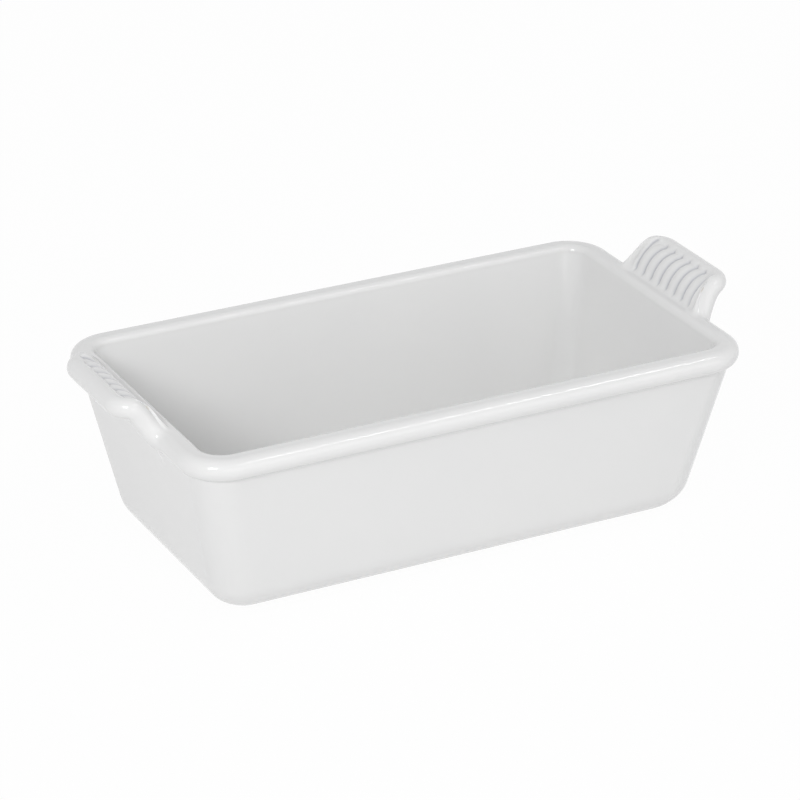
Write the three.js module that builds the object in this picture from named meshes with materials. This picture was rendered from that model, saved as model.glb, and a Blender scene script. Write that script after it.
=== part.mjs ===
// A stoneware loaf pan: one fired clay body and the coats of glaze fused to it.
// Millimetres, +Z up, +X along the pan, origin at the centre of the plane that the foot rests on.
import * as THREE from "three";

// Rim: outer plan, height, and the rolled bead that runs round it
const RIM_LENGTH = 250;
const RIM_WIDTH = 140;
const RIM_HEIGHT = 78;
const RIM_CORNER_R = 19;
const RIM_BEAD_R = 4.65;
const RIM_OVERHANG = 3.9;
const RIM_TOP_WIDTH = 10.2;
const LIP_R = 3;

// Tapered basin: outer plan at the base, carried down to the resting plane
const BASE_LENGTH = 213.4;
const BASE_WIDTH = 105;
const BASE_CORNER_R = 13;
const BASE_EDGE_R = 13.2;
const WALL = 7.6;
const FLOOR = 7.5;
const INNER_EDGE_R = 12;

// Foot: a bare ring round a shallow recess
const FOOT_WIDTH = 8;
const RECESS_DEPTH = 1.6;
const RECESS_BEVEL = 1.8;

// Handles: lugs that grow out of the two ends of the rim
const HANDLE_HALF_WIDTH = 28.7;
const HANDLE_REACH = 15.4;
const HANDLE_RISE = 13.3;
const HANDLE_RISE_RUN = 12.6;
const HANDLE_CORNER_R = 11;
const HANDLE_ROOT_R = 7;
const HANDLE_BEAD_R = 4.2;
const HANDLE_ROOT_DROP = 7;

// Ribbed panel on top of each handle: the rib tops rise steeply from the rim's flat band at
// PANEL_START out from the mouth, and level off at PANEL_END against the bead
const RIB_COUNT = 7;
const RIB_PITCH = 6.2;
const GROOVE_HALF_WIDTH = 1;
const GROOVE_DEPTH = 1.1;
const PANEL_RECESS = 0.4;
const PANEL_START = 6.1;
const PANEL_STEEP = 1.5;
const PANEL_STEEP_HEIGHT = 0.4;
const PANEL_LEVEL = 5.4;
const PANEL_LEVEL_HEIGHT = 0.84;
const PANEL_END = 17.8;

// Glaze
const GLAZE = 0.4;

// How finely the curves are divided
const CORNER_STEPS = 6;
const WALL_CORNER_STEPS = 4;
const SHOULDER_STEPS = 10;
const COVE_STEPS = 3;
const BASE_EDGE_STEPS = 4;
const BEAD_STEPS = 5;
const PANEL_STEPS = 5;
const UNDERSIDE_STEPS = 3;

// Values that follow from the sizes
const HALF_LENGTH = RIM_LENGTH / 2;
const HALF_WIDTH = RIM_WIDTH / 2;
const BEAD_BOTTOM = RIM_HEIGHT - 2 * RIM_BEAD_R;
const SLOPE_X = (HALF_LENGTH - RIM_OVERHANG - BASE_LENGTH / 2) / BEAD_BOTTOM;
const SLOPE_Y = (HALF_WIDTH - RIM_OVERHANG - BASE_WIDTH / 2) / BEAD_BOTTOM;
const SLOPE_R = (RIM_CORNER_R - RIM_OVERHANG - BASE_CORNER_R) / BEAD_BOTTOM;
const PANEL_HALF = (RIB_COUNT * RIB_PITCH) / 2 + GROOVE_HALF_WIDTH;
const MIN_CORNER_R = 6;
const CORNER_SHRINK = 0.6;
const QUARTER = Math.PI / 2;

// A rounded rectangle in plan, as half length, half width and corner radius
const plan = (a, b, r) => ({ a, b, r: Math.max(r, MIN_CORNER_R) });

// The outer wall's plan at height z, moved in by a distance; its corners tighten more slowly
function wallPlan(z, inset) {
  const a = BASE_LENGTH / 2 + SLOPE_X * z - inset;
  const b = BASE_WIDTH / 2 + SLOPE_Y * z - inset;
  return plan(a, b, BASE_CORNER_R + SLOPE_R * z - inset * CORNER_SHRINK);
}

const RIM_PLAN = plan(HALF_LENGTH, HALF_WIDTH, RIM_CORNER_R);

// The inner wall's plan at height z, from the floor's edge up to the mouth, moved in by a distance
const INNER_BASE = wallPlan(FLOOR, WALL);
const MOUTH_Z = RIM_HEIGHT - LIP_R;
const MOUTH_PLAN = plan(
  HALF_LENGTH - RIM_TOP_WIDTH,
  HALF_WIDTH - RIM_TOP_WIDTH,
  RIM_CORNER_R - RIM_TOP_WIDTH,
);

function innerPlan(z, inset) {
  const share = (z - FLOOR) / (MOUTH_Z - FLOOR);
  const between = (key) => THREE.MathUtils.lerp(INNER_BASE[key], MOUTH_PLAN[key], share) - inset;
  return plan(between("a"), between("b"), between("r"));
}

// A station is one place round a quarter of the pan: along the side, round the corner, over the
// shoulder beside the handle, or across the handle's ribbed panel; t runs 0 to 1 in each.
const PARTS = ["side", "corner", "shoulder", "panel"];

function planPoint({ part, t }, { a, b, r }) {
  if (part === "side") {
    return { x: t * (a - r), y: b, nx: 0, ny: 1 };
  }
  if (part === "corner") {
    const nx = Math.cos(QUARTER * (1 - t));
    const ny = Math.sin(QUARTER * (1 - t));
    return { x: a - r + r * nx, y: b - r + r * ny, nx, ny };
  }
  if (part === "shoulder") {
    return { x: a, y: THREE.MathUtils.lerp(b - r, PANEL_HALF, shoulderShare(t)), nx: 1, ny: 0 };
  }
  return { x: a, y: PANEL_HALF * (1 - t), nx: 1, ny: 0 };
}

// The shoulder's outline: straight rim, a hollow arc, then the handle's round corner.
const SWEEP = Math.acos(1 - HANDLE_REACH / (HANDLE_ROOT_R + HANDLE_CORNER_R));
const CORNER_CENTRE_X = HALF_LENGTH + HANDLE_REACH - HANDLE_CORNER_R;
const CORNER_CENTRE_Y = HANDLE_HALF_WIDTH - HANDLE_CORNER_R * Math.sin(SWEEP);
const ROOT_CENTRE_X = HALF_LENGTH + HANDLE_ROOT_R;
const ROOT_CENTRE_Y = HANDLE_HALF_WIDTH + HANDLE_ROOT_R * Math.sin(SWEEP);
const PANEL_EDGE_ANGLE = Math.asin((PANEL_HALF - CORNER_CENTRE_Y) / HANDLE_CORNER_R);

function shoulderOutline() {
  const path = new THREE.Path();
  path.moveTo(HALF_LENGTH, HALF_WIDTH - RIM_CORNER_R);
  path.lineTo(HALF_LENGTH, ROOT_CENTRE_Y);
  path.absarc(ROOT_CENTRE_X, ROOT_CENTRE_Y, HANDLE_ROOT_R, Math.PI, Math.PI + SWEEP, false);
  path.absarc(CORNER_CENTRE_X, CORNER_CENTRE_Y, HANDLE_CORNER_R, SWEEP, PANEL_EDGE_ANGLE, true);
  return path;
}

const SHOULDER = shoulderOutline();

// How far a shoulder station lies from the corner's end to the panel's edge on the lip and the
// walls, 0 to 1: between even steps and the steps of the bead's crest, so that no lines cross
const CREST_SHARE = 0.5;

function crestY(t) {
  return SHOULDER.getPointAt(t).y - RIM_BEAD_R * SHOULDER.getTangentAt(t).x;
}

function shoulderShare(t) {
  const onCrest = (crestY(0) - crestY(t)) / (crestY(0) - crestY(1));
  return THREE.MathUtils.lerp(t, onCrest, CREST_SHARE);
}

// The outermost line of the rim and handles at a station, with its outward direction
function outline(station) {
  if (station.part === "shoulder") {
    const p = SHOULDER.getPointAt(station.t);
    const along = SHOULDER.getTangentAt(station.t);
    return { x: p.x, y: p.y, nx: -along.y, ny: along.x };
  }
  if (station.part === "panel") {
    const y = PANEL_HALF * (1 - station.t);
    const ny = Math.max(y - CORNER_CENTRE_Y, 0) / HANDLE_CORNER_R;
    const nx = Math.sqrt(1 - ny * ny);
    return { x: CORNER_CENTRE_X + HANDLE_CORNER_R * nx, y, nx, ny };
  }
  return planPoint(station, RIM_PLAN);
}

// The bead's centre at a station: it climbs as it swings out round the handle.
function beadAt(station) {
  const edge = outline(station);
  const low = HALF_LENGTH - RIM_BEAD_R;
  const reach = edge.x - RIM_BEAD_R * edge.nx - low;
  const climb = THREE.MathUtils.smoothstep(reach, 0, HANDLE_RISE_RUN);
  const r = THREE.MathUtils.lerp(RIM_BEAD_R, HANDLE_BEAD_R, climb);
  return {
    ...edge,
    x: edge.x - r * edge.nx,
    y: edge.y - r * edge.ny,
    z: RIM_HEIGHT - r + HANDLE_RISE * climb,
    r,
    climb,
  };
}

// A point on the bead, at an angle up from straight out
function onBead(station, angle) {
  const bead = beadAt(station);
  const out = bead.r * Math.cos(angle);
  return new THREE.Vector3(
    bead.x + out * bead.nx,
    bead.y + out * bead.ny,
    bead.z + bead.r * Math.sin(angle),
  );
}

// The rib tops' curve, from the flat band to the foot of the bead: distance out and height
const PANEL_CURVE = new THREE.CubicBezierCurve(
  new THREE.Vector2(PANEL_START, 0),
  new THREE.Vector2(PANEL_START + PANEL_STEEP, PANEL_STEEP_HEIGHT * HANDLE_RISE),
  new THREE.Vector2(PANEL_START + PANEL_LEVEL, PANEL_LEVEL_HEIGHT * HANDLE_RISE),
  new THREE.Vector2(PANEL_END, PANEL_LEVEL_HEIGHT * HANDLE_RISE + PANEL_RECESS),
);
const CREST_OUT = HALF_LENGTH + HANDLE_REACH - HANDLE_BEAD_R - MOUTH_PLAN.a;

// How far a groove cuts in at a distance y from the pan's centre line: 1 on a groove's line
function grooveAt(y) {
  const phase = Math.abs(y) / RIB_PITCH + (RIB_COUNT % 2) / 2;
  const offLine = Math.abs(phase - Math.round(phase)) * RIB_PITCH;
  return Math.max(0, 1 - offLine / GROOVE_HALF_WIDTH);
}

// A point of the band and panel between the lip and the bead's crest; u runs 0 to 1
function onPanel(station, u) {
  const lip = planPoint(station, MOUTH_PLAN);
  const bead = beadAt(station);
  const curve = PANEL_CURVE.getPoint(u);
  const share = (curve.x - LIP_R) / (CREST_OUT - LIP_R);
  const x = THREE.MathUtils.lerp(lip.x + LIP_R * lip.nx, bead.x, share);
  const y = THREE.MathUtils.lerp(lip.y + LIP_R * lip.ny, bead.y, share);
  let z = RIM_HEIGHT + curve.y * bead.climb;
  if (station.part === "panel" && u > 0) {
    z -= PANEL_RECESS + (u < 1 ? GROOVE_DEPTH * grooveAt(y) : 0);
  }
  return new THREE.Vector3(x, y, z);
}

function onLip(station, angle) {
  const lip = planPoint(station, MOUTH_PLAN);
  const out = LIP_R * (1 - Math.cos(angle));
  const z = RIM_HEIGHT - LIP_R * (1 - Math.sin(angle));
  return new THREE.Vector3(lip.x + out * lip.nx, lip.y + out * lip.ny, z);
}

const onPlan = (outlinePlan, z) => (station) => {
  const p = planPoint(station, outlinePlan);
  return new THREE.Vector3(p.x, p.y, z);
};
const onWall = (z, inset) => onPlan(wallPlan(z, inset), z);

// Under the bead the skin sweeps back to the wall; under a handle it meets the wall lower down.
const BEAD_END = THREE.MathUtils.degToRad(-65);
const UNDERSIDE_BEND = 0.85;
const UNDERSIDE_GAP = 1;

function onUnderside(station, u) {
  const bead = beadAt(station);
  const wallTop = BEAD_BOTTOM - UNDERSIDE_GAP - HANDLE_ROOT_DROP * bead.climb;
  const bendZ = THREE.MathUtils.lerp(wallTop, bead.z - bead.r, UNDERSIDE_BEND);
  const curve = new THREE.QuadraticBezierCurve3(
    onBead(station, BEAD_END),
    onWall(bendZ, 0)(station),
    onWall(wallTop, 0)(station),
  );
  return curve.getPoint(u);
}

// Stations of one quarter, from the middle of the side to the middle of the end
const steps = (count, from = 0) =>
  Array.from({ length: count + 1 - from }, (_, i) => (i + from) / count);
const along = (part, ts) => ts.map((t) => ({ part, t, key: PARTS.indexOf(part) + t }));

function panelDetail() {
  const ys = [0];
  for (let line = RIB_PITCH * ((RIB_COUNT % 2) / 2); line < PANEL_HALF; line += RIB_PITCH) {
    ys.push(line - GROOVE_HALF_WIDTH, line, line + GROOVE_HALF_WIDTH);
  }
  return ys
    .filter((y) => y < PANEL_HALF - 1e-6)
    .reverse()
    .map((y) => 1 - y / PANEL_HALF);
}

const RIM_STATIONS = [
  ...along("side", [0, 0.5]),
  ...along("corner", steps(CORNER_STEPS)),
  ...along("shoulder", steps(SHOULDER_STEPS, 1)),
  ...along("panel", steps(3, 1)),
];
const RIBBED_STATIONS = [
  ...along("side", [0, 0.5]),
  ...along("corner", steps(CORNER_STEPS)),
  ...along("shoulder", steps(SHOULDER_STEPS, 1)),
  ...along("panel", panelDetail()),
];
const WALL_STATIONS = [
  ...along("side", [0]),
  ...along("corner", steps(WALL_CORNER_STEPS)),
  ...along("shoulder", [0.5, 1]),
  ...along("panel", [1]),
];

// One closed ring of the skin, from a rule for a quarter repeated in mirror image
function ring(stations, place) {
  const quarter = stations.map((s) => ({ key: s.key, p: place(s) }));
  const last = PARTS.length;
  const mirrored = (list, sx, sy, key) =>
    list.map((v) => ({ key: key(v.key), p: new THREE.Vector3(sx * v.p.x, sy * v.p.y, v.p.z) }));
  const back = [...quarter].reverse();
  return [
    ...mirrored(quarter, 1, 1, (k) => k),
    ...mirrored(back.slice(1), 1, -1, (k) => 2 * last - k),
    ...mirrored(quarter.slice(1), -1, -1, (k) => 2 * last + k),
    ...mirrored(back.slice(1, -1), -1, 1, (k) => 4 * last - k),
  ];
}

const point = (z) => [{ key: 0, p: new THREE.Vector3(0, 0, z) }];

// Rings over the inside: floor, cove, wall and lip
function insideRings() {
  const rings = [point(FLOOR)];
  for (const q of steps(COVE_STEPS)) {
    const angle = q * QUARTER;
    const z = FLOOR + INNER_EDGE_R * (1 - Math.cos(angle));
    const inset = INNER_EDGE_R * (1 - Math.sin(angle));
    rings.push(ring(WALL_STATIONS, onPlan(innerPlan(z, inset), z)));
  }
  for (const q of steps(2)) {
    rings.push(ring(RIM_STATIONS, (s) => onLip(s, q * QUARTER)));
  }
  return rings;
}

// Rings over the rim's top, the ribbed panels and the bead, and back to the wall
function rimRings() {
  const rings = steps(PANEL_STEPS).map((u) => ring(RIBBED_STATIONS, (s) => onPanel(s, u)));
  for (const q of steps(BEAD_STEPS)) {
    const angle = THREE.MathUtils.lerp(QUARTER, BEAD_END, q);
    rings.push(ring(RIM_STATIONS, (s) => onBead(s, angle)));
  }
  for (const u of steps(UNDERSIDE_STEPS, 1)) {
    rings.push(ring(RIM_STATIONS, (s) => onUnderside(s, u)));
  }
  return rings;
}

// Rings round the base's edge, down to where the glaze stops
function baseRings() {
  return steps(BASE_EDGE_STEPS)
    .slice(0, -1)
    .map((q) => {
      const angle = q * QUARTER;
      const z = BASE_EDGE_R * (1 - Math.sin(angle));
      return ring(WALL_STATIONS, onWall(z, BASE_EDGE_R * (1 - Math.cos(angle))));
    });
}

// Rings of the bare foot, then of the recess inside it
const footRings = () => [
  ring(WALL_STATIONS, onWall(0, BASE_EDGE_R)),
  ring(WALL_STATIONS, onWall(0, BASE_EDGE_R + FOOT_WIDTH)),
];
const recessRings = () => [
  ring(WALL_STATIONS, onWall(RECESS_DEPTH, BASE_EDGE_R + FOOT_WIDTH + RECESS_BEVEL)),
  point(RECESS_DEPTH),
];

const INSIDE = insideRings();
const OUTSIDE = [...rimRings(), ...baseRings()];
const FOOT = footRings();
const RECESS = recessRings();
const RINGS = [...INSIDE, ...OUTSIDE, ...FOOT, ...RECESS];
const LIP_RING = INSIDE.length - 1;
const GLAZE_LINE = INSIDE.length + OUTSIDE.length - 1;
const RECESS_RING = RINGS.length - RECESS.length;

// Number the rings' points in one list
const FIRST = [];
const SKIN = [];
for (const r of RINGS) {
  FIRST.push(SKIN.length);
  SKIN.push(...r.map((v) => v.p));
}

// Triangles between ring k and ring k + 1, walking both by their stations' keys
function band(k) {
  const [a, b] = [RINGS[k], RINGS[k + 1]];
  const end = 4 * PARTS.length;
  const index = (which, i) => FIRST[which] + (i % RINGS[which].length);
  const nextKey = (r, i) => (i + 1 < r.length ? r[i + 1].key : end);
  const triangles = [];
  let [i, j] = [0, 0];
  const stepsA = a.length > 1 ? a.length : 0;
  const stepsB = b.length > 1 ? b.length : 0;
  while (i < stepsA || j < stepsB) {
    const moveA = j >= stepsB || (i < stepsA && nextKey(a, i) <= nextKey(b, j));
    const corner = moveA ? index(k, i + 1) : index(k + 1, j + 1);
    triangles.push([index(k, i), corner, index(k + 1, j)]);
    moveA ? i++ : j++;
  }
  return triangles;
}

const BANDS = RINGS.slice(1).map((_, k) => band(k));

// The clay lies a glaze's thickness under the skin wherever a coat covers it.
function claySurface() {
  const geometry = new THREE.BufferGeometry().setFromPoints(SKIN);
  geometry.setIndex(BANDS.flat(2));
  geometry.computeVertexNormals();
  const normals = geometry.getAttribute("normal");
  return SKIN.map((p, i) => {
    const bare = i >= FIRST[GLAZE_LINE + 1] && i < FIRST[RECESS_RING];
    const n = new THREE.Vector3().fromBufferAttribute(normals, i);
    return bare ? p.clone() : p.clone().addScaledVector(n, -GLAZE);
  });
}

const CLAY = claySurface();

// A mesh from numbered triangles over a list of points
function meshOf(name, points, triangles, material) {
  const used = [...new Set(triangles.flat())];
  const renumber = new Map(used.map((old, i) => [old, i]));
  const geometry = new THREE.BufferGeometry().setFromPoints(used.map((i) => points[i]));
  geometry.setIndex(triangles.flat().map((i) => renumber.get(i)));
  geometry.computeVertexNormals();
  const mesh = new THREE.Mesh(geometry, material);
  mesh.name = name;
  return mesh;
}

// The edge of a coat along one ring, from the skin down to the clay
function coatEdge(k, facesOn) {
  const count = RINGS[k].length;
  const triangles = [];
  for (let i = 0; i < count; i++) {
    const [p, q] = [FIRST[k] + i, FIRST[k] + ((i + 1) % count)];
    const [under, over] = [p + SKIN.length, q + SKIN.length];
    triangles.push(...(facesOn ? [[p, q, over], [p, over, under]] : [[p, over, q], [p, under, over]]));
  }
  return triangles;
}

// A coat of glaze over the bands between two rings: skin outside, clay surface inside
function coat(name, from, to, material) {
  const top = BANDS.slice(from, to).flat();
  const under = top.map(([a, b, c]) => [a, c, b].map((i) => i + SKIN.length));
  const triangles = [...top, ...under];
  if (RINGS[from].length > 1) {
    triangles.push(...coatEdge(from, false));
  }
  if (RINGS[to].length > 1) {
    triangles.push(...coatEdge(to, true));
  }
  return meshOf(name, [...SKIN, ...CLAY], triangles, material);
}

const clay = new THREE.MeshStandardMaterial({ color: 0xd9d0c2, roughness: 0.85, metalness: 0 });
const whiteGlaze = new THREE.MeshStandardMaterial({ color: 0xe9e9e6, roughness: 0.12, metalness: 0 });

const pan = new THREE.Group();
pan.add(meshOf("stoneware_body", CLAY, BANDS.flat(), clay));
pan.add(coat("interior_glaze", 0, LIP_RING, whiteGlaze));
pan.add(coat("exterior_glaze", LIP_RING, GLAZE_LINE, whiteGlaze));
pan.add(coat("underside_glaze", RECESS_RING, RINGS.length - 1, whiteGlaze));

export default pan;
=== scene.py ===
"""White glazed stoneware loaf pan: its glaze skin, fired clay body and glazed recess, on a studio table."""
import math

import bpy
import numpy as np
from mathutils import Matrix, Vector

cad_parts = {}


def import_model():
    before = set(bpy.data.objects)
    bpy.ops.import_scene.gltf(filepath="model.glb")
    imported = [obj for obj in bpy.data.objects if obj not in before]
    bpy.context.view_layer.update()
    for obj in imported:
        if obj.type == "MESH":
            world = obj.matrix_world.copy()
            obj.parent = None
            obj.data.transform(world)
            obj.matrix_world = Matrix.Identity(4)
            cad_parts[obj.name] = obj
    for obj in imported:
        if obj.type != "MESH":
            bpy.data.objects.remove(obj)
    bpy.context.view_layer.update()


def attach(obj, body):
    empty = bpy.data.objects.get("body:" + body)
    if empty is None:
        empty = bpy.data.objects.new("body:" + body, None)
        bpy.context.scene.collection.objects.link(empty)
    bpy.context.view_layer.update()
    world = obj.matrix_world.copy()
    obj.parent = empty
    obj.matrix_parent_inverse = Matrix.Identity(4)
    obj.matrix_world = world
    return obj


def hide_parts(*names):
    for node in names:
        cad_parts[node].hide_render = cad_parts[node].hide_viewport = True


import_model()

MM = 0.001

# Rim and tapered basin, in millimetres
RIM = dict(a=125.0, b=70.0, r=19.0)
RIM_Z = 78.0
RIM_BEAD_R = 4.65
RIM_OVERHANG = 3.9
RIM_TOP_WIDTH = 10.2
LIP_R = 3.0
BASE = dict(a=106.7, b=52.5, r=13.0)
BASE_EDGE_R = 13.2
WALL = 7.6
FLOOR = 7.5
COVE_R = 12.0
MIN_CORNER_R = 6.0
CORNER_SHRINK = 0.6

# Foot and the recess inside it
FOOT_WIDTH = 8.0
RECESS_DEPTH = 1.6
RECESS_BEVEL = 1.8
RECESS_EDGE = BASE_EDGE_R + FOOT_WIDTH + RECESS_BEVEL
EASE = 0.15

# Handles
HANDLE_HALF_WIDTH = 28.7
HANDLE_REACH = 15.4
HANDLE_RISE = 13.3
HANDLE_RISE_RUN = 12.6
HANDLE_CORNER_R = 11.0
HANDLE_ROOT_R = 7.0
HANDLE_BEAD_R = 4.2
HANDLE_ROOT_DROP = 7.0

# Ribs pressed into the top of each handle
RIB_COUNT = 7
RIB_PITCH = 6.2
GROOVE_DEPTH = 1.15
PANEL_HALF = RIB_COUNT * RIB_PITCH / 2 + 1.0
PANEL_END = 17.8
RIBS_FADE_IN = 0.76
GROOVE_MARGIN = 0.4
GROOVE_FADE = 0.9

# Degrees round the bead: how far past its crest the ribs meet it, and where its underside ends
PANEL_FLANK = 55.0
BEAD_END = -72.0

# How far below the bead the skin meets the wall, and over how many stations that line is smoothed
UNDER_BEAD = 2.2
WALL_TOP_REACH = 9

# The glaze and how much deeper the clay lies below the grooves and below the handles' top surface
GLAZE = 0.4
UNDER_GROOVES = 2.2
UNDER_PANEL = 1.6
GLAZE_LINE_ANGLE = 67.5

# The outer wall leans out from the base to the bottom of the bead.
BEAD_BOTTOM = RIM_Z - 2 * RIM_BEAD_R
SLOPE = {k: (RIM[k] - RIM_OVERHANG - BASE[k]) / BEAD_BOTTOM for k in "abr"}

# Stations round one quarter of the pan: side, corner, shoulder beside the handle, ribbed panel
SIDE, CORNER, SHOULDER, PANEL = range(4)
STATION_COUNTS = {SIDE: 6, CORNER: 24, SHOULDER: 56, PANEL: 92}
ARC_POINTS = 80
CREST_SHARE = 0.5


def smoothstep(x):
    x = np.clip(x, 0.0, 1.0)
    return x * x * (3 - 2 * x)


def quarter_stations():
    """The part and the place in it, 0 to 1, of every station of a quarter."""
    part, t = [], []
    for name, count in STATION_COUNTS.items():
        part += [name] * count
        t += list(np.arange(count) / count)
    return np.array(part + [PANEL]), np.array(t + [1.0])


PART, T = quarter_stations()
FADED = smoothstep((T - RIBS_FADE_IN) / (1 - RIBS_FADE_IN))
RIBBED = np.select([PART == PANEL, PART == SHOULDER], [1.0, FADED], 0.0)


def plan_rule(a, b, r):
    return dict(a=a, b=b, r=np.maximum(r, MIN_CORNER_R))


def wall_plan(z, inset=0.0):
    """The outer wall's plan at height z, moved in by a distance."""
    sizes = {k: BASE[k] + SLOPE[k] * z - inset for k in "ab"}
    return plan_rule(r=BASE["r"] + SLOPE["r"] * z - inset * CORNER_SHRINK, **sizes)


INNER_BASE = wall_plan(FLOOR, WALL)
MOUTH = plan_rule(*(RIM[k] - RIM_TOP_WIDTH for k in "abr"))
MOUTH_Z = RIM_Z - LIP_R


def inner_plan(z, inset=0.0):
    """The inner wall's plan at height z, from the floor up to the mouth, moved in by a distance."""
    share = (z - FLOOR) / (MOUTH_Z - FLOOR)
    return plan_rule(*(INNER_BASE[k] + (MOUTH[k] - INNER_BASE[k]) * share - inset for k in "abr"))


def arc(centre, radius, start, stop, outward):
    """Points of an arc with the outward direction, 1 from its centre or -1 towards it."""
    turn = np.radians(np.linspace(start, stop, ARC_POINTS))
    ray = np.stack([np.cos(turn), np.sin(turn)], 1)
    return np.hstack([np.array(centre) + radius * ray, outward * ray])


SWEEP = math.degrees(math.acos(1 - HANDLE_REACH / (HANDLE_ROOT_R + HANDLE_CORNER_R)))
CORNER_CENTRE = (
    RIM["a"] + HANDLE_REACH - HANDLE_CORNER_R,
    HANDLE_HALF_WIDTH - HANDLE_CORNER_R * math.sin(math.radians(SWEEP)),
)
ROOT_CENTRE = (
    RIM["a"] + HANDLE_ROOT_R,
    HANDLE_HALF_WIDTH + HANDLE_ROOT_R * math.sin(math.radians(SWEEP)),
)


def shoulder_outline():
    """Straight rim, hollow root and the handle's round corner, at every station by share of length."""
    edge = math.degrees(math.asin((PANEL_HALF - CORNER_CENTRE[1]) / HANDLE_CORNER_R))
    rim_start = [[RIM["a"], RIM["b"] - RIM["r"], 1.0, 0.0]]
    root = arc(ROOT_CENTRE, HANDLE_ROOT_R, 180, 180 + SWEEP, -1)
    corner = arc(CORNER_CENTRE, HANDLE_CORNER_R, SWEEP, edge, 1)
    path = np.concatenate([rim_start, root, corner[1:]])
    run = np.r_[0, np.cumsum(np.hypot(*np.diff(path[:, :2], axis=0).T))]
    return [np.interp(T, run / run[-1], column) for column in path.T]


SHOULDER_LINE = shoulder_outline()


def shoulder_share():
    """Shares of the way across the pan: part those of the bead's crest, the rest evenly spaced."""
    crest = SHOULDER_LINE[1] - RIM_BEAD_R * SHOULDER_LINE[3]
    first, last = (np.interp(t, T[PART == SHOULDER], crest[PART == SHOULDER]) for t in (0.0, 1.0))
    return CREST_SHARE * (first - crest) / (first - last) + (1 - CREST_SHARE) * T


SHOULDER_SHARE = shoulder_share()


def plan_points(plan):
    """Positions and outward directions of every station on a rounded rectangle."""
    a, b, r = (np.broadcast_to(plan[k], T.shape) for k in "abr")
    angle = np.pi / 2 * (1 - T)
    straight, turned = PART == SIDE, PART == CORNER
    nx = np.select([straight, turned], [0 * T, np.cos(angle)], 1.0)
    ny = np.select([straight, turned], [1 + 0 * T, np.sin(angle)], 0.0)
    x = np.select([straight, turned], [T * (a - r), a - r + r * nx], a)
    shoulder_y = b - r + (PANEL_HALF - b + r) * SHOULDER_SHARE
    beside = PART == SHOULDER
    y = np.select([straight, turned, beside], [b, b - r + r * ny, shoulder_y], PANEL_HALF * (1 - T))
    return x, y, nx, ny


def rim_outline():
    """The outermost line of the rim and the handles at every station, with its outward direction."""
    columns = list(plan_points(RIM))
    y = columns[1]
    ny = np.where(PART == PANEL, np.maximum(y - CORNER_CENTRE[1], 0) / HANDLE_CORNER_R, 0.0)
    nx = np.sqrt(1 - ny * ny)
    panel = [CORNER_CENTRE[0] + HANDLE_CORNER_R * nx, y, nx, ny]
    choose = [PART == SHOULDER, PART == PANEL]
    return [np.select(choose, both, column) for column, both in zip(columns, zip(SHOULDER_LINE, panel))]


def unit(v):
    return v / np.linalg.norm(v, axis=1)[:, None]


class Bead:
    """The rolled bead: a round tube whose centre climbs as it swings out round each handle."""

    def __init__(self):
        x, y, nx, ny = rim_outline()
        reach = x - RIM_BEAD_R * nx - (RIM["a"] - RIM_BEAD_R)
        self.climb = np.where(PART < SHOULDER, 0.0, smoothstep(reach / HANDLE_RISE_RUN))
        self.r = RIM_BEAD_R + (HANDLE_BEAD_R - RIM_BEAD_R) * self.climb
        z = RIM_Z - self.r + HANDLE_RISE * self.climb
        self.centre = np.stack([x - self.r * nx, y - self.r * ny, z], 1)
        tangent = np.gradient(self.centre, axis=0)
        tangent[0], tangent[-1] = (1, 0, 0), (0, -1, 0)
        tangent = unit(tangent)
        out = np.stack([nx, ny, 0 * nx], 1)
        self.out = unit(out - tangent * (out * tangent).sum(1)[:, None])
        self.up = np.cross(self.out, tangent)
        self.up *= np.sign(self.up[:, 2:])

    def ray(self, degrees):
        """Directions from the tube's centre, up from straight out; one angle or one for each station."""
        angle = np.radians(np.broadcast_to(degrees, T.shape))[:, None]
        return np.cos(angle) * self.out + np.sin(angle) * self.up

    def at(self, degrees):
        return self.centre + self.r[:, None] * self.ray(degrees)


BEAD = Bead()


def smooth_along(values, reach):
    """Values at the stations, each averaged with its neighbours up to reach stations away."""
    padded = np.concatenate([values[:1].repeat(reach), values, values[-1:].repeat(reach)])
    return np.convolve(padded, np.full(2 * reach + 1, 1 / (2 * reach + 1)), "valid")


def on_plan(plan, z):
    x, y, _, _ = plan_points(plan)
    return np.stack([x, y, np.broadcast_to(z, x.shape)], 1)


def facing(out, up):
    """A direction at every station: so much away from the pan's middle and so much upwards."""
    _, _, nx, ny = plan_points(RIM)
    return np.stack([out * nx, out * ny, up + 0 * nx], 1)


def circle(degrees):
    return math.cos(math.radians(degrees)), math.sin(math.radians(degrees))


def on_lip(degrees):
    """Points round the rounded edge of the mouth, from its wall at 0 to its top at 90 degrees."""
    cos, sin = circle(degrees)
    centre = on_plan(MOUTH, RIM_Z - LIP_R) + facing(LIP_R, 0.0)
    return centre + LIP_R * facing(-cos, sin)


def hermite(p, q, tp, tq, t):
    """A smooth curve from p to q that leaves along tp and arrives along tq."""
    return (
        (2 * t**3 - 3 * t**2 + 1) * p + (t**3 - 2 * t**2 + t) * tp
        + (3 * t**2 - 2 * t**3) * q + (t**3 - t**2) * tq
    )


# Section of the ribbed panel, from the lip to the bead: flat band, rounded toe, steep rise, level top.
SECTION_JOINTS = np.array([[LIP_R, 0.0], [4.9, 0.0], [7.7, 3.9], [11.6, 8.9], [PANEL_END, 11.15]])
SECTION_SLOPES = np.array([[1.0, 0.0], [1.0, 0.0], [0.45, 0.89], [0.78, 0.62], [1.0, 0.0]])
SECTION_COUNTS = [4, 9, 9, 9]


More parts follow.
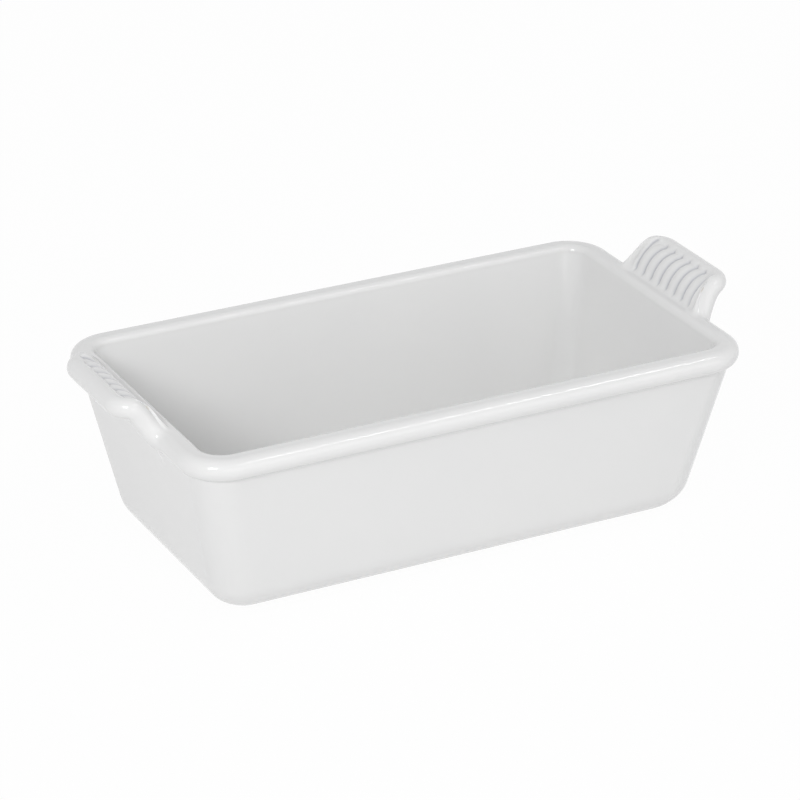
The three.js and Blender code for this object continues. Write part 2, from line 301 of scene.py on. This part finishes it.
def panel_section():
    """Shares of the way out and of the way up at each ring from the lip to the bead's flank."""
    points = [SECTION_JOINTS[:1]]
    for i, count in enumerate(SECTION_COUNTS):
        p, q = SECTION_JOINTS[i : i + 2]
        size = np.linalg.norm(q - p)
        t = np.linspace(0, 1, count)[1:, None]
        points.append(hermite(p, q, SECTION_SLOPES[i] * size, SECTION_SLOPES[i + 1] * size, t))
    section = np.concatenate(points)
    return (section - section[0]) / (section[-1] - section[0])


def flank_angle():
    """Where the top surface meets the bead: on its crest along the rim, well down it at the ribs."""
    return 90.0 + PANEL_FLANK * RIBBED * BEAD.climb


def panel_rings():
    """Rings over the rim's top from the lip to the bead's inner flank: ribbed, or one soft hollow."""
    start, flank = on_lip(90.0), BEAD.at(flank_angle())
    rise = flank[:, 2] - start[:, 2]
    rings = []
    for out, up in panel_section()[1:-1]:
        ring = start + (flank - start) * out
        ring[:, 2] = start[:, 2] + rise * (smoothstep(out) + (up - smoothstep(out)) * RIBBED)
        rings.append((ring, facing(0.0, -1.0 - UNDER_PANEL * BEAD.climb)))
    return rings


def bead_rings():
    """Rings round the bead from its flank to its underside."""
    angles = [flank_angle() + (BEAD_END - flank_angle()) * s for s in np.linspace(0, 1, 26)]
    return [(BEAD.at(angle), -BEAD.ray(angle)) for angle in angles]


WALL_TOP = BEAD_BOTTOM - UNDER_BEAD - HANDLE_ROOT_DROP * smooth_along(BEAD.climb, WALL_TOP_REACH)


def underside_rings(count=9):
    """From under the bead back to the wall; under a handle the skin meets the wall lower down."""
    start, wall = BEAD.at(BEAD_END), on_plan(wall_plan(WALL_TOP), WALL_TOP)
    below = on_plan(wall_plan(WALL_TOP - 1.0), WALL_TOP - 1.0)
    span = np.linalg.norm(wall - start, axis=1)[:, None]
    leave, arrive = BEAD.ray(BEAD_END - 90) * span * 1.1, unit(below - wall) * span * 1.3
    first, last = -BEAD.ray(BEAD_END), facing(-1.0, 0.0)
    shares = np.arange(1, count + 1) / count
    return [(hermite(start, wall, leave, arrive, t), unit(first + (last - first) * t)) for t in shares]


def base_edge(degrees):
    """A ring of the round edge between the wall and the foot."""
    cos, sin = circle(degrees)
    z = BASE_EDGE_R * (1 - sin)
    return on_plan(wall_plan(z, BASE_EDGE_R * (1 - cos)), z), facing(-cos, sin)


def cove(degrees):
    """A ring of the hollow edge between the floor, at 0, and the inner wall, at 90 degrees."""
    cos, sin = circle(degrees)
    z = FLOOR + COVE_R * (1 - cos)
    return on_plan(inner_plan(z, COVE_R * (1 - sin)), z), facing(sin, -cos)


def inside_rings():
    """Rings from the middle of the floor out to the lip; the first is shrunk to the centre point."""
    edge = on_plan(inner_plan(FLOOR, COVE_R), FLOOR)
    rings = [(edge * [share, share, 1.0], facing(0.0, -1.0)) for share in (0.04, 0.5)]
    rings += [cove(degrees) for degrees in np.linspace(0, 90, 13)]
    low, high = FLOOR + COVE_R, MOUTH_Z
    for z in (low + 0.8, (2 * low + high) / 3, (low + 2 * high) / 3, high - 0.8):
        rings.append((on_plan(inner_plan(z), z), facing(1.0, 0.0)))
    for degrees in np.linspace(0, 90, 11):
        cos, sin = circle(degrees)
        rings.append((on_lip(degrees), facing(cos, -sin)))
    return rings


def outside_rings():
    """Rings from the lip over the rim and down the wall to the line where the glaze stops."""
    rings = panel_rings() + bead_rings() + underside_rings()
    for share in (0.015, 0.3, 0.65):
        z = WALL_TOP + (BASE_EDGE_R - WALL_TOP) * share
        rings.append((on_plan(wall_plan(z), z), facing(-1.0, 0.0)))
    return rings + [base_edge(degrees) for degrees in np.linspace(0, GLAZE_LINE_ANGLE, 11)]


def whole_ring(quarter):
    """A quarter's points, or values, mirrored into the closed ring."""
    flips = [(1, 1), (1, -1), (-1, -1), (-1, 1)]
    if quarter.ndim == 1:
        return np.concatenate([quarter, quarter[::-1][1:], quarter[1:], quarter[::-1][1:-1]])
    a, b, c, d = (quarter * [sx, sy, 1] for sx, sy in flips)
    return np.concatenate([a, b[::-1][1:], c[1:], d[::-1][1:-1]])


def mesh_object(name, points, faces, attributes=None):
    mesh = bpy.data.meshes.new(name)
    mesh.from_pydata((np.asarray(points) * MM).tolist(), [], faces)
    for key, values in (attributes or {}).items():
        mesh.attributes.new(key, "FLOAT", "POINT").data.foreach_set("value", np.asarray(values, float))
    mesh.polygons.foreach_set("use_smooth", [True] * len(mesh.polygons))
    mesh.update()
    obj = bpy.data.objects.new(name, mesh)
    bpy.context.scene.collection.objects.link(obj)
    return obj


def loft_faces(ring_count, size, first_pole=False, last_pole=False):
    """Quads between rings that run clockwise seen from above, with a fan at each pole."""
    faces = []
    for k in range(ring_count - 1):
        for i in range(size):
            j = (i + 1) % size
            faces.append((k * size + i, k * size + j, (k + 1) * size + j, (k + 1) * size + i))
    pole = ring_count * size
    if first_pole:
        faces += [(pole, (i + 1) % size, i) for i in range(size)]
        pole += 1
    if last_pole:
        last = (ring_count - 1) * size
        faces += [(last + i, last + (i + 1) % size, pole) for i in range(size)]
    return faces


# ---------------------------------------------------------------- Geometry Nodes: pressing the ribs


class Tree:
    """Adds nodes to a tree and links them."""

    def __init__(self, tree):
        self.tree = tree

    def add(self, kind, inputs=None, **settings):
        node = self.tree.nodes.new(kind)
        for key, value in settings.items():
            setattr(node, key, value)
        for key, value in (inputs or {}).items():
            self.feed(node.inputs[key], value)
        return node

    def feed(self, socket, value):
        if isinstance(value, Value):
            value = value.socket
        if isinstance(value, bpy.types.NodeSocket):
            self.tree.links.new(value, socket)
        else:
            socket.default_value = value

    def value(self, kind, output=0, inputs=None, **settings):
        return Value(self, self.add(kind, inputs, **settings).outputs[output])


class Value:
    """A number socket, so that sums and products on it add their Math nodes."""

    def __init__(self, tree, socket):
        self.tree, self.socket = tree, socket

    def math(self, operation, *others, clamp=False):
        inputs = dict(enumerate((self, *others)))
        return self.tree.value("ShaderNodeMath", 0, inputs, operation=operation, use_clamp=clamp)

    def swapped(self, operation, other):
        return self.tree.value("ShaderNodeMath", 0, {0: other, 1: self}, operation=operation)

    def __add__(self, other):
        return self.math("ADD", other)

    def __mul__(self, other):
        return self.math("MULTIPLY", other)

    def __sub__(self, other):
        return self.math("SUBTRACT", other)

    def __truediv__(self, other):
        return self.math("DIVIDE", other)

    def __pow__(self, other):
        return self.math("POWER", other)

    def __rsub__(self, other):
        return self.swapped("SUBTRACT", other)

    __radd__ = __add__
    __rmul__ = __mul__


def rib_press():
    """Presses parallel grooves into the skin where the panel attribute allows, along its normal, and stores
    how deep each point is pressed, which the glaze uses to paint shade into the grooves.
    """
    group = bpy.data.node_groups.new("rib_press", "GeometryNodeTree")
    sockets = group.interface
    sockets.new_socket("Geometry", in_out="INPUT", socket_type="NodeSocketGeometry")
    for name in ("Rib Pitch", "Groove Phase", "Groove Depth", "Groove Softness"):
        sockets.new_socket(name, in_out="INPUT", socket_type="NodeSocketFloat")
    sockets.new_socket("Finish", in_out="INPUT", socket_type="NodeSocketMaterial")
    sockets.new_socket("Geometry", in_out="OUTPUT", socket_type="NodeSocketGeometry")
    t = Tree(group)
    given = t.add("NodeGroupInput")
    pitch, phase, depth, softness = (
        Value(t, given.outputs[n]) for n in ("Rib Pitch", "Groove Phase", "Groove Depth", "Groove Softness")
    )
    place = t.add("GeometryNodeInputPosition")
    across = t.value("ShaderNodeSeparateXYZ", "Y", {0: place.outputs[0]})
    panel = t.value("GeometryNodeInputNamedAttribute", "Attribute", {"Name": "panel"}, data_type="FLOAT")
    wave = ((across / pitch + phase) * math.pi).math("SINE")
    rounded = (wave * wave + softness * softness) ** 0.5 - softness
    groove_and_shade = (1.0 - rounded.math("MINIMUM", 1.0) ** 0.62) * panel
    normal = t.add("GeometryNodeInputNormal")
    shift = t.add("ShaderNodeVectorMath", {0: normal.outputs[0]}, operation="SCALE")
    t.feed(shift.inputs["Scale"], groove_and_shade * depth * -1.0)
    # The pressed depth is kept for the glaze, which paints shade into the grooves with it.
    kept = t.add("GeometryNodeStoreNamedAttribute", {"Geometry": given.outputs["Geometry"], "Name": "groove_and_shade"})
    t.feed(kept.inputs["Value"], groove_and_shade)
    pressed = t.add("GeometryNodeSetPosition", {"Geometry": kept.outputs[0], "Offset": shift.outputs[0]})
    real = t.add("GeometryNodeRealizeInstances", {"Geometry": pressed.outputs[0]})
    finish = given.outputs["Finish"]
    painted = t.add("GeometryNodeSetMaterial", {"Geometry": real.outputs[0], "Material": finish})
    t.add("NodeGroupOutput", {"Geometry": painted.outputs[0]})
    return group


def with_nodes(obj, group, settings):
    """Runs a node tree on an object and keeps the plain mesh that comes out."""
    modifier = obj.modifiers.new(group.name, "NODES")
    modifier.node_group = group
    for item in group.interface.items_tree:
        if item.in_out == "INPUT" and item.name in settings:
            modifier[item.identifier] = settings[item.name]
    evaluated = obj.evaluated_get(bpy.context.evaluated_depsgraph_get())
    mesh = bpy.data.meshes.new_from_object(evaluated)
    obj.modifiers.remove(modifier)
    obj.data = mesh
    return obj


# ---------------------------------------------------------------- Materials


def new_material(name):
    material = bpy.data.materials.new(name)
    material.use_nodes = True
    material.node_tree.nodes.clear()
    return material, Tree(material.node_tree)


def colour_mix(t, factor, a, b):
    node = t.add("ShaderNodeMix", data_type="RGBA")
    t.feed(node.inputs["Factor"], factor)
    for index, colour in ((6, a), (7, b)):
        t.feed(node.inputs[index], colour)
    return node.outputs[2]


def white_glaze():
    """Glossy white glaze: a faint float in its tone and gloss, a painted highlight on sharp edges, painted
    shade in hollows and grooves, softly uneven.
    """
    material, t = new_material("white_glaze")
    place = t.add("ShaderNodeTexCoord").outputs["Object"]
    cloud = t.value("ShaderNodeTexNoise", "Fac", {"Vector": place, "Scale": 22.0, "Detail": 3.0})
    grain = t.value("ShaderNodeTexNoise", "Fac", {"Vector": place, "Scale": 900.0, "Detail": 2.0})
    ripple = t.value("ShaderNodeTexNoise", "Fac", {"Vector": place, "Scale": 45.0, "Detail": 1.0})
    bend = t.value("ShaderNodeNewGeometry", "Pointiness")
    # Painted highlight: sharp convex edges made lighter.
    edge = ((bend - 0.5) * 9.0).math("MINIMUM", 1.0).math("MAXIMUM", 0.0)
    # Painted shade: concave hollows made darker and bluer.
    hollow_shade = ((0.5 - bend) * 9.0).math("MINIMUM", 1.0).math("MAXIMUM", 0.0)
    tone = colour_mix(t, cloud, (0.804, 0.806, 0.802, 1), (0.834, 0.834, 0.825, 1))
    tone = colour_mix(t, edge * 0.35, tone, (0.86, 0.855, 0.84, 1))
    tone = colour_mix(t, hollow_shade * 0.45, tone, (0.765, 0.775, 0.79, 1))
    # Painted shade: the grooves darkened to grey-blue where they are pressed deepest.
    groove_and_shade = t.value("ShaderNodeAttribute", "Fac", attribute_name="groove_and_shade")
    tone = colour_mix(t, groove_and_shade * groove_and_shade * 0.85, tone, (0.44, 0.45, 0.50, 1))
    height = ripple * 0.8 + grain * 0.04
    bump = t.add("ShaderNodeBump", {"Height": height, "Strength": 0.05, "Distance": 0.0012})
    shader = t.add(
        "ShaderNodeBsdfPrincipled",
        {
            "Base Color": tone,
            "Roughness": cloud * 0.03 + grain * 0.02 + 0.035,
            "IOR": 1.5,
            "Normal": bump.outputs[0],
        },
    )
    t.add("ShaderNodeOutputMaterial", {"Surface": shader.outputs[0]})
    return material


def bare_stoneware():
    """Unglazed fired clay: warm buff with iron specks, a fine open grain and a matte face."""
    material, t = new_material("bare_stoneware")
    place = t.add("ShaderNodeTexCoord").outputs["Object"]
    cloud = t.value("ShaderNodeTexNoise", "Fac", {"Vector": place, "Scale": 60.0, "Detail": 5.0})
    grain = t.value("ShaderNodeTexNoise", "Fac", {"Vector": place, "Scale": 1400.0, "Detail": 4.0})
    speck = t.value("ShaderNodeTexVoronoi", "Distance", {"Vector": place, "Scale": 420.0})
    dark = ((0.16 - speck) * 12.0).math("MINIMUM", 1.0).math("MAXIMUM", 0.0)
    tone = colour_mix(t, cloud, (0.66, 0.60, 0.51, 1), (0.76, 0.71, 0.62, 1))
    tone = colour_mix(t, dark * 0.7, tone, (0.30, 0.21, 0.14, 1))
    bump = t.add("ShaderNodeBump", {"Height": grain + speck * 0.5, "Strength": 0.5, "Distance": 0.0003})
    shader = t.add(
        "ShaderNodeBsdfPrincipled",
        {"Base Color": tone, "Roughness": grain * 0.15 + 0.72, "IOR": 1.45, "Normal": bump.outputs[0]},
    )
    t.add("ShaderNodeOutputMaterial", {"Surface": shader.outputs[0]})
    return material


# ---------------------------------------------------------------- Pieces


def skin_rings():
    """The coat's rings in order, the ways into the clay from them, and how deep grooves may cut there."""
    inside, outside = inside_rings(), outside_rings()
    ups = panel_section()[1:-1, 1]
    flank = [1.0, 0.8, 0.45, 0.15]
    heights = [0.0] * len(inside) + list(smoothstep(ups * 6.0)) + flank
    heights += [0.0] * (len(inside + outside) - len(heights))
    rings, inward = zip(*(inside + outside))
    reach = PANEL_HALF + GROOVE_MARGIN
    presses = [h * smoothstep((reach - ring[:, 1]) / GROOVE_FADE) for ring, h in zip(rings, heights)]
    return rings, inward, presses


def glaze_skin(finish):
    """The whole coat of glaze, inside and out, as one continuous skin."""
    rings, _, presses = skin_rings()
    whole = [whole_ring(r) for r in rings]
    size = len(whole[0])
    points = np.concatenate(whole + [[[0.0, 0.0, FLOOR]]])
    panel = np.concatenate([whole_ring(p) for p in presses] + [[0.0]])
    skin = mesh_object("glaze_skin", points, loft_faces(len(whole), size, first_pole=True), {"panel": panel})
    phase = 0.5 * (RIB_COUNT % 2)
    return with_nodes(
        skin,
        rib_press(),
        {
            "Rib Pitch": RIB_PITCH * MM,
            "Groove Phase": phase,
            "Groove Depth": GROOVE_DEPTH * MM,
            "Groove Softness": 0.08,
            "Finish": finish,
        },
    )


def foot_rings():
    """Rings of the bare foot from the glaze line in to the recess."""
    rings = [base_edge(degrees)[0] for degrees in np.linspace(GLAZE_LINE_ANGLE, 90, 5)]
    inner = BASE_EDGE_R + FOOT_WIDTH
    rings.append(on_plan(wall_plan(0.0, inner - 0.6), 0.0))
    rings.append(on_plan(wall_plan(EASE, inner - EASE), EASE))
    top = RECESS_DEPTH - EASE
    rings.append(on_plan(wall_plan(top, RECESS_EDGE - EASE), top))
    return rings


def under_glaze(rings, inward, presses):
    """The rings moved in by the glaze's thickness, and below the grooves where the ribs are."""
    depths = [GLAZE + UNDER_GROOVES * press[:, None] for press in presses]
    return [whole_ring(ring + way * depth) for ring, way, depth in zip(rings, inward, depths)]


def clay_body(finish):
    """The fired clay under the glaze, with the bare foot ring that the pan stands on."""
    under = under_glaze(*skin_rings())
    recess = on_plan(wall_plan(RECESS_DEPTH, RECESS_EDGE), RECESS_DEPTH + GLAZE)
    under += [whole_ring(r) for r in foot_rings() + [recess, recess * [0.5, 0.5, 1.0]]]
    poles = [[0.0, 0.0, FLOOR - GLAZE], [0.0, 0.0, RECESS_DEPTH + GLAZE]]
    points = np.concatenate(under + [poles])
    body = mesh_object("clay_body", points, loft_faces(len(under), len(under[0]), True, True))
    body.data.materials.append(finish)
    return body


def recess_glaze(finish):
    """The patch of glaze in the shallow recess inside the foot, pooled a little at its edge."""
    edge, low = RECESS_EDGE, RECESS_DEPTH
    rings = [
        on_plan(wall_plan(low, edge + 1.0), low + GLAZE),
        on_plan(wall_plan(low, edge - 0.1), low + GLAZE),
        on_plan(wall_plan(low, edge), low + 0.12),
        on_plan(wall_plan(low, edge + 0.35), low),
        on_plan(wall_plan(low, edge + 3.0), low),
        on_plan(wall_plan(low, edge + 14.0), low),
    ]
    whole = [whole_ring(r) for r in rings]
    poles = [[0.0, 0.0, low + GLAZE], [0.0, 0.0, low]]
    points = np.concatenate(whole + [poles])
    patch = mesh_object("recess_glaze", points, loft_faces(len(whole), len(whole[0]), True, True))
    patch.data.materials.append(finish)
    return patch


# ---------------------------------------------------------------- Studio


def camera():
    """A long lens, turned a hair away from the middle of the pan."""
    data = bpy.data.cameras.new("camera")
    data.lens = 163.87
    data.sensor_width = 36.0
    data.clip_end = 20.0
    azimuth, elevation, distance = math.radians(27.43), math.radians(25.43), 1.5027
    aim_right, aim_up = -0.00143069, 0.00842761
    flat = np.array([math.sin(azimuth), math.cos(azimuth), 0.0])
    right = np.array([math.cos(azimuth), -math.sin(azimuth), 0.0])
    forward = flat * math.cos(elevation) - np.array([0.0, 0.0, math.sin(elevation)])
    up = np.cross(right, forward)
    middle = np.array([0.0, 0.0, 0.0384])
    place = middle - forward * distance
    aim = forward + aim_right * right + aim_up * up
    look_from("camera", data, place, place + aim)
    bpy.context.scene.camera = bpy.data.objects["camera"]


def look_from(name, data, place, target):
    """An object at place, looking at target."""
    obj = bpy.data.objects.new(name, data)
    obj.location = Vector(place)
    obj.rotation_euler = (Vector(target) - Vector(place)).to_track_quat("-Z", "Y").to_euler()
    bpy.context.scene.collection.objects.link(obj)
    return obj


def softbox(name, direction, distance, size, strength, target=(0, 0, 0.06)):
    """A rectangular lamp, seen from the pan in a direction, with strength as its own brightness."""
    data = bpy.data.lights.new(name, "AREA")
    data.shape = "RECTANGLE"
    data.size, data.size_y = size
    data.energy = strength * math.pi * size[0] * size[1]
    target = np.array(target)
    direction = np.array(direction) / np.linalg.norm(direction)
    return look_from(name, data, target + direction * distance, target)


def seen_directly(t):
    """1 where the camera sees a surface, also mirrored or through glass; 0 where it lights the pan."""
    rays = t.add("ShaderNodeLightPath").outputs
    names = ("Is Camera Ray", "Is Glossy Ray", "Is Transmission Ray")
    looked_at, mirrored, through = (Value(t, rays[name]) for name in names)
    return looked_at.math("MAXIMUM", mirrored).math("MAXIMUM", through)


def world(level, overhead_loss, sky):
    """White where it is seen; otherwise the room's soft light, dimmer from straight above."""
    studio = bpy.data.worlds.new("studio")
    studio.use_nodes = True
    studio.node_tree.nodes.clear()
    t = Tree(studio.node_tree)
    seen = seen_directly(t)
    upward = t.value("ShaderNodeSeparateXYZ", "Z", {0: t.add("ShaderNodeTexCoord").outputs["Generated"]})
    dimmed = level - upward.math("MAXIMUM", 0.0) * overhead_loss
    room = t.add("ShaderNodeBackground", {"Color": sky, "Strength": dimmed})
    white = t.add("ShaderNodeBackground", {"Color": (1, 1, 1, 1), "Strength": 1.0})
    mix = t.add("ShaderNodeMixShader", {0: seen, 1: room.outputs[0], 2: white.outputs[0]})
    t.add("ShaderNodeOutputWorld", {"Surface": mix.outputs[0]})
    bpy.context.scene.world = studio


def table():
    """A white table that keeps the pan's shadow."""
    size, top = 1500.0, -0.4
    corners = [[-size, -size, top], [size, -size, top], [size, size, top], [-size, size, top]]
    floor = mesh_object("floor", corners, [(0, 1, 2, 3)])
    material, t = new_material("white_table")
    shader = t.add("ShaderNodeBsdfDiffuse", {"Color": (0.86, 0.86, 0.86, 1)})
    seen = seen_directly(t)
    glow = t.add("ShaderNodeEmission", {"Color": (1, 1, 1, 1), "Strength": 1.0})
    mix = t.add("ShaderNodeMixShader", {0: seen * 0.97, 1: shader.outputs[0], 2: glow.outputs[0]})
    t.add("ShaderNodeOutputMaterial", {"Surface": mix.outputs[0]})
    floor.data.materials.append(material)


def studio():
    bpy.context.scene.view_settings.view_transform = "Standard"
    world(0.63, 0.16, (0.985, 0.985, 1.0, 1))
    table()
    softbox("rim_light", (0.416, -0.43, 0.80), 1.2, (0.7, 0.05), 14.0)
    softbox("front_light", (0.25, -1.0, 0.30), 1.8, (2.2, 0.9), 0.70)
    softbox("left_light", (-0.68, -0.60, 0.52), 1.6, (0.5, 0.35), 15.0)


def pieces():
    glaze, clay = white_glaze(), bare_stoneware()
    skin, body, patch = glaze_skin(glaze), clay_body(clay), recess_glaze(glaze)
    for piece, slot, nodes in (
        (skin, "white_glaze", ("interior_glaze", "exterior_glaze")),
        (body, "bare_stoneware", ("stoneware_body",)),
        (patch, "white_glaze", ("underside_glaze",)),
    ):
        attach(piece, "root")
        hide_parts(*nodes)


camera()
studio()
pieces()
